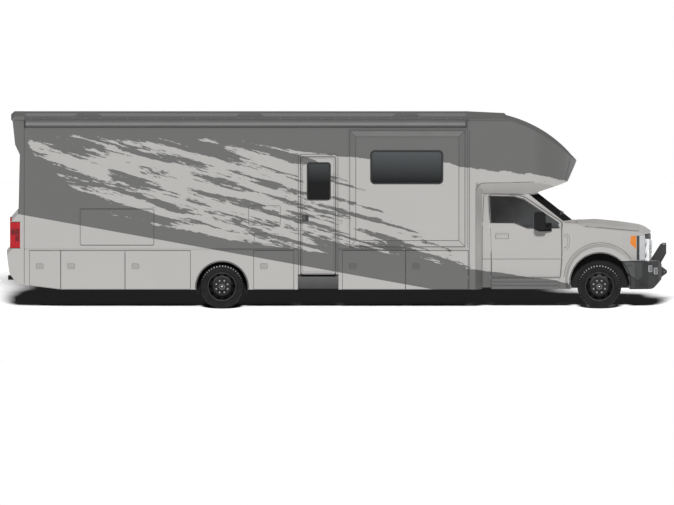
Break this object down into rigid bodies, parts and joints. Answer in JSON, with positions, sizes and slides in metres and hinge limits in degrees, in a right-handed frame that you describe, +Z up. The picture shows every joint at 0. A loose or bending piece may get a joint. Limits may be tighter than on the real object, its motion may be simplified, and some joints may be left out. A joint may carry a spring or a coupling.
{
  "type": "motorhome",
  "caption": "Long-nosed motorhome: a box-shaped living body with storage bays and slide-out rooms on a truck cab chassis.",
  "frame": {"origin": "centre of the whole vehicle in X and Y, on the ground", "axes": "+X towards the front of the vehicle, +Y to its left side, +Z up"},
  "size_m": [11.418, 2.78, 3.335],
  "materials": {
    "frame_black": "satin",
    "tyre": "matte",
    "rim": "satin",
    "engine_grey": "matte",
    "tank": "matte",
    "body_dark": "gloss",
    "body_light": "gloss",
    "floor": "satin",
    "step": "matte",
    "roof": "matte",
    "trim_dark": "satin",
    "glass": "gloss",
    "lamp_red": "gloss",
    "lamp_clear": "gloss",
    "bumper": "satin",
    "grille": "polished",
    "mirror_black": "gloss",
    "cabin": "matte",
    "seat": "matte"
  },
  "bodies": {
    "chassis": {"chassis_frame": "frame_black", "front_axle": "frame_black", "rear_axle": "frame_black", "exhaust_pipe": "frame_black", "engine_block": "engine_grey", "radiator": "engine_grey", "water_tanks": "tank", "bay_boxes": "body_dark", "bay_boxes_right_rear": "body_dark", "side_walls": "body_dark", "rear_cap": "body_dark", "front_cap": "body_light", "front_wings": "body_light", "cab_shell": "body_light", "house_floor": "floor", "entry_steps": "step", "running_boards": "step", "roof": "roof", "awning_case": "trim_dark", "windscreen": "glass", "tail_lamps": "lamp_red", "head_lamps": "lamp_clear", "front_bumper": "bumper", "grille": "grille", "dashboard": "cabin", "cab_seats": "seat"},
    "knuckle_right": {"knuckle_right": "frame_black"},
    "knuckle_left": {"knuckle_left": "frame_black"},
    "front_wheel_right": {"front_tyre_right": "tyre", "front_rim_right": "rim"},
    "front_wheel_left": {"front_tyre_left": "tyre", "front_rim_left": "rim"},
    "rear_wheels_right": {"rear_tyres_right": "tyre", "rear_rims_right": "rim"},
    "rear_wheels_left": {"rear_tyres_left": "tyre", "rear_rims_left": "rim"},
    "cab_door_right": {"cab_door_right": "body_light", "cab_door_glass_right": "glass", "door_mirror_right": "mirror_black"},
    "cab_door_left": {"cab_door_left": "body_light", "cab_door_glass_left": "glass", "door_mirror_left": "mirror_black"},
    "hood": {"hood": "body_light"},
    "entry_door": {"entry_door": "body_light", "entry_door_glass": "glass"},
    "side_hatch": {"side_hatch": "body_dark"},
    "slide_room_right": {"slide_out_right": "body_dark", "slide_out_glass_right": "glass"},
    "slide_room_left": {"slide_out_left": "body_dark", "slide_out_glass_left": "glass"},
    "steering_wheel": {"steering_wheel": "cabin"},
    "bay_door_right_1": {"bay_door_right_1": "body_dark"},
    "bay_door_right_2": {"bay_door_right_2": "body_dark"},
    "bay_door_right_3": {"bay_door_right_3": "body_dark"},
    "bay_door_right_4": {"bay_door_right_4": "body_dark"},
    "bay_door_right_5": {"bay_door_right_5": "body_dark"},
    "bay_door_right_6": {"bay_door_right_6": "body_dark"},
    "bay_door_left_1": {"bay_door_left_1": "body_dark"},
    "bay_door_left_2": {"bay_door_left_2": "body_dark"},
    "bay_door_left_3": {"bay_door_left_3": "body_dark"}
  },
  "joints": [
    {"name": "steer_left", "type": "hinge", "parent": "chassis", "child": "knuckle_left", "pos_m": [4.538, 0.85, 0.38], "axis": [0, 0, 1], "range_deg": [-35, 35]},
    {"name": "steer_right", "type": "hinge", "parent": "chassis", "child": "knuckle_right", "pos_m": [4.538, -0.85, 0.38], "axis": [0, 0, 1], "range_deg": [-35, 35]},
    {"name": "front_wheel_left_spin", "type": "hinge", "parent": "knuckle_left", "child": "front_wheel_left", "pos_m": [4.538, 0.985, 0.38], "axis": [0, 1, 0], "continuous": true},
    {"name": "front_wheel_right_spin", "type": "hinge", "parent": "knuckle_right", "child": "front_wheel_right", "pos_m": [4.538, -0.985, 0.38], "axis": [0, 1, 0], "continuous": true},
    {"name": "rear_wheels_left_spin", "type": "hinge", "parent": "chassis", "child": "rear_wheels_left", "pos_m": [-1.99, 0.94, 0.38], "axis": [0, 1, 0], "continuous": true},
    {"name": "rear_wheels_right_spin", "type": "hinge", "parent": "chassis", "child": "rear_wheels_right", "pos_m": [-1.99, -0.94, 0.38], "axis": [0, 1, 0], "continuous": true},
    {"name": "steering_wheel_turn", "type": "hinge", "parent": "chassis", "child": "steering_wheel", "pos_m": [3.5, 0.45, 1.33], "axis": [-0.8746, 0, 0.4848], "range_deg": [-525, 525]},
    {"name": "cab_door_right_hinge", "type": "hinge", "parent": "chassis", "child": "cab_door_right", "pos_m": [3.894, -1.018, 1.2], "axis": [0, 0, 1], "range_deg": [0, 65]},
    {"name": "cab_door_left_hinge", "type": "hinge", "parent": "chassis", "child": "cab_door_left", "pos_m": [3.894, 1.018, 1.2], "axis": [0, 0, -1], "range_deg": [0, 65]},
    {"name": "entry_door_hinge", "type": "hinge", "parent": "chassis", "child": "entry_door", "pos_m": [-0.022, -1.28, 1.6], "axis": [0, 0, 1], "range_deg": [0, 95]},
    {"name": "hood_hinge", "type": "hinge", "parent": "chassis", "child": "hood", "pos_m": [4.152, 0, 1.505], "axis": [0, -1, 0], "range_deg": [0, 50]},
    {"name": "side_hatch_hinge", "type": "hinge", "parent": "chassis", "child": "side_hatch", "pos_m": [-3.806, -1.272, 1.73], "axis": [-1, 0, 0], "range_deg": [0, 85]},
    {"name": "slide_room_right_travel", "type": "slide", "parent": "chassis", "child": "slide_room_right", "axis": [0, -1, 0], "range_m": [0, 0.55]},
    {"name": "slide_room_left_travel", "type": "slide", "parent": "chassis", "child": "slide_room_left", "axis": [0, 1, 0], "range_m": [0, 0.55]},
    {"name": "bay_door_right_1_hinge", "type": "hinge", "parent": "chassis", "child": "bay_door_right_1", "pos_m": [-5.0515, -1.27, 1.012], "axis": [-1, 0, 0], "range_deg": [0, 85]},
    {"name": "bay_door_right_2_hinge", "type": "hinge", "parent": "chassis", "child": "bay_door_right_2", "pos_m": [-4.224, -1.27, 1.012], "axis": [-1, 0, 0], "range_deg": [0, 85]},
    {"name": "bay_door_right_3_hinge", "type": "hinge", "parent": "chassis", "child": "bay_door_right_3", "pos_m": [-3.101, -1.27, 1.012], "axis": [-1, 0, 0], "range_deg": [0, 85]},
    {"name": "bay_door_right_4_hinge", "type": "hinge", "parent": "chassis", "child": "bay_door_right_4", "pos_m": [-1.096, -1.27, 1.012], "axis": [-1, 0, 0], "range_deg": [0, 85]},
    {"name": "bay_door_right_5_hinge", "type": "hinge", "parent": "chassis", "child": "bay_door_right_5", "pos_m": [0.6395, -1.27, 1.012], "axis": [-1, 0, 0], "range_deg": [0, 85]},
    {"name": "bay_door_right_6_hinge", "type": "hinge", "parent": "chassis", "child": "bay_door_right_6", "pos_m": [1.7285, -1.27, 1.012], "axis": [-1, 0, 0], "range_deg": [0, 85]},
    {"name": "bay_door_left_1_hinge", "type": "hinge", "parent": "chassis", "child": "bay_door_left_1", "pos_m": [-4.224, 1.27, 1.012], "axis": [1, 0, 0], "range_deg": [0, 85]},
    {"name": "bay_door_left_2_hinge", "type": "hinge", "parent": "chassis", "child": "bay_door_left_2", "pos_m": [-3.101, 1.27, 1.012], "axis": [1, 0, 0], "range_deg": [0, 85]},
    {"name": "bay_door_left_3_hinge", "type": "hinge", "parent": "chassis", "child": "bay_door_left_3", "pos_m": [0.6395, 1.27, 1.012], "axis": [1, 0, 0], "range_deg": [0, 85]}
  ],
  "couplings": [
    {"joint": "steer_right", "follows": "steer_left", "ratio": 1},
    {"joint": "steering_wheel_turn", "follows": "steer_left", "ratio": 15}
  ]
}
